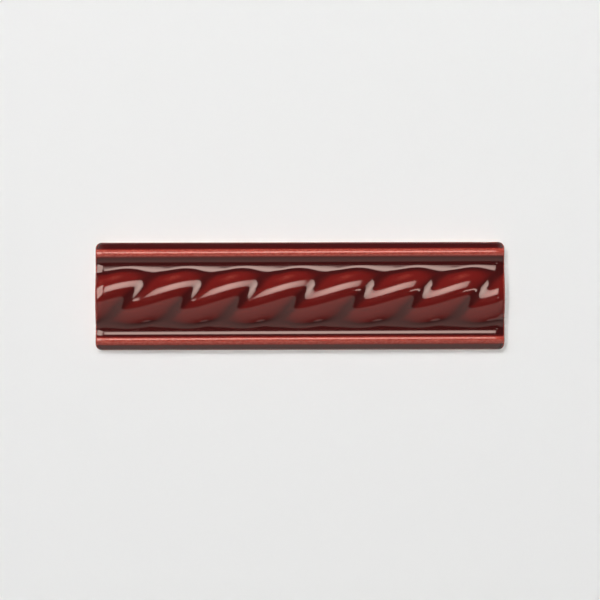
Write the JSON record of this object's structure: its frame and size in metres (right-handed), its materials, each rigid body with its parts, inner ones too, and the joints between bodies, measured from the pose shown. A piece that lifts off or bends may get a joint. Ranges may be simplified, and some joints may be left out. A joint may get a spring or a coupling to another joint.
{
  "type": "rope moulding tile",
  "caption": "Narrow glazed ceramic trim tile with a raised twisted rope along its middle, a small bead along each side and a flat back.",
  "frame": {"origin": "middle of the flat back, on the surface that the tile lies on", "axes": "+X along the tile and its rope, +Y across it, +Z out of its face"},
  "size_m": [0.152, 0.04, 0.014],
  "materials": {
    "glazed_body": "gloss"
  },
  "bodies": {
    "root": {"rope_moulding_tile": "glazed_body"}
  },
  "joints": []
}
